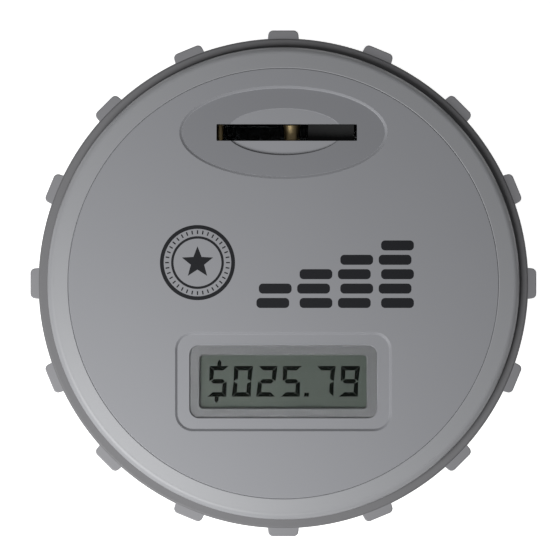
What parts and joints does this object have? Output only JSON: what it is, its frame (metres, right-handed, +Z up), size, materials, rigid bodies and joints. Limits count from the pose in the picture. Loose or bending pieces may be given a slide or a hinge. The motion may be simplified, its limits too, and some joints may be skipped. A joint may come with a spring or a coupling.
{
  "type": "digital coin counting jar",
  "caption": "Clear screw-top money jar whose round lid takes coins through a slot, gauges them with a sprung lever and shows the total on a small display.",
  "frame": {"origin": "centre of the jar's base, on the surface that it stands on", "axes": "+Z up along the jar's axis, +Y from the lid's centre towards the coin slot, +X to the right as the display is read"},
  "size_m": [0.127, 0.127, 0.178],
  "materials": {
    "clear_jar_plastic": "clear moulded plastic",
    "satin_silver_plastic": "satin silver",
    "bright_silver_plastic": "satin silver, a little brighter",
    "grey_grip_plastic": "fine matte grey",
    "clear_pane": "clear sheet",
    "lcd_cell": "grey-green reflective display",
    "black_plastic": "black",
    "pink_rubber": "soft",
    "circuit_board": "green solder mask",
    "film_cable": "polyimide film",
    "bright_steel": "bright steel",
    "aluminium_can": "sleeved can",
    "turned_brass": "turned and slightly dulled",
    "white_plastic": "white",
    "cell_sleeve": "printed sleeve over steel",
    "red_wire": "insulation",
    "black_wire": "insulation",
    "grey_button": "dark grey",
    "red_button": "red"
  },
  "bodies": {
    "jar": {"jar_body": "clear_jar_plastic"},
    "trim": {"trim_ring": "bright_silver_plastic"},
    "lid": {"lid_skirt": "grey_grip_plastic", "face_plate": "satin_silver_plastic", "display_window": "clear_pane", "lcd_glass": "lcd_cell", "lcd_frame": "black_plastic", "lcd_connectors": "pink_rubber", "main_board": "circuit_board", "chip_blob": "black_plastic", "crystal": "bright_steel", "capacitor": "aluminium_can", "tact_switches": "black_plastic", "board_screws": "bright_steel", "chute_front": "black_plastic", "chute_rear": "black_plastic", "guide_pin": "turned_brass", "sensor_board": "circuit_board", "sensor_ribbon": "film_cable", "chute_ramp": "black_plastic", "pivot_pin": "bright_steel", "lever_spring": "bright_steel", "bottom_cover": "white_plastic", "cover_screws": "bright_steel", "battery_1": "cell_sleeve", "battery_2": "cell_sleeve", "battery_contacts": "bright_steel", "battery_springs": "bright_steel", "red_lead": "red_wire", "black_lead": "black_wire"},
    "lever": {"coin_lever": "black_plastic", "roller_axle": "bright_steel", "wiper_contact": "turned_brass"},
    "roller": {"lever_roller": "turned_brass"},
    "door": {"battery_door": "white_plastic", "door_screw": "bright_steel"},
    "add_key": {"add_button": "grey_button"},
    "subtract_key": {"subtract_button": "grey_button"},
    "reset_key": {"reset_button": "red_button"}
  },
  "joints": [
    {"name": "lid_rise", "type": "slide", "parent": "jar", "child": "trim", "axis": [0, 0, 1], "range_m": [0, 0.0192]},
    {"name": "lid_turn", "type": "hinge", "parent": "trim", "child": "lid", "pos_m": [0, 0, 0.178], "axis": [0, 0, 1], "range_deg": [0, 576]},
    {"name": "lever_swing", "type": "hinge", "parent": "lid", "child": "lever", "pos_m": [0.021, 0.0378, 0.1715], "axis": [0, -1, 0], "range_deg": [0, 62], "stiffness_Nm_per_rad": 0.01, "springref_deg": -20.05, "deforming": ["lever_spring"]},
    {"name": "roller_spin", "type": "hinge", "parent": "lever", "child": "roller", "pos_m": [0.00214, 0.0378, 0.16918], "axis": [0, 1, 0], "continuous": true},
    {"name": "door_lift", "type": "slide", "parent": "lid", "child": "door", "axis": [0, 0, -1], "range_m": [0, 0.025]},
    {"name": "add_press", "type": "slide", "parent": "lid", "child": "add_key", "axis": [0, 0, 1], "range_m": [0, 0.0005], "stiffness_N_per_m": 1200, "springref_m": -0.0003},
    {"name": "subtract_press", "type": "slide", "parent": "lid", "child": "subtract_key", "axis": [0, 0, 1], "range_m": [0, 0.0005], "stiffness_N_per_m": 1200, "springref_m": -0.0003},
    {"name": "reset_press", "type": "slide", "parent": "lid", "child": "reset_key", "axis": [0, 0, 1], "range_m": [0, 0.0005], "stiffness_N_per_m": 1200, "springref_m": -0.0003}
  ],
  "couplings": [
    {"joint": "lid_rise", "follows": "lid_turn", "m_per_rad": 0.0019099}
  ]
}
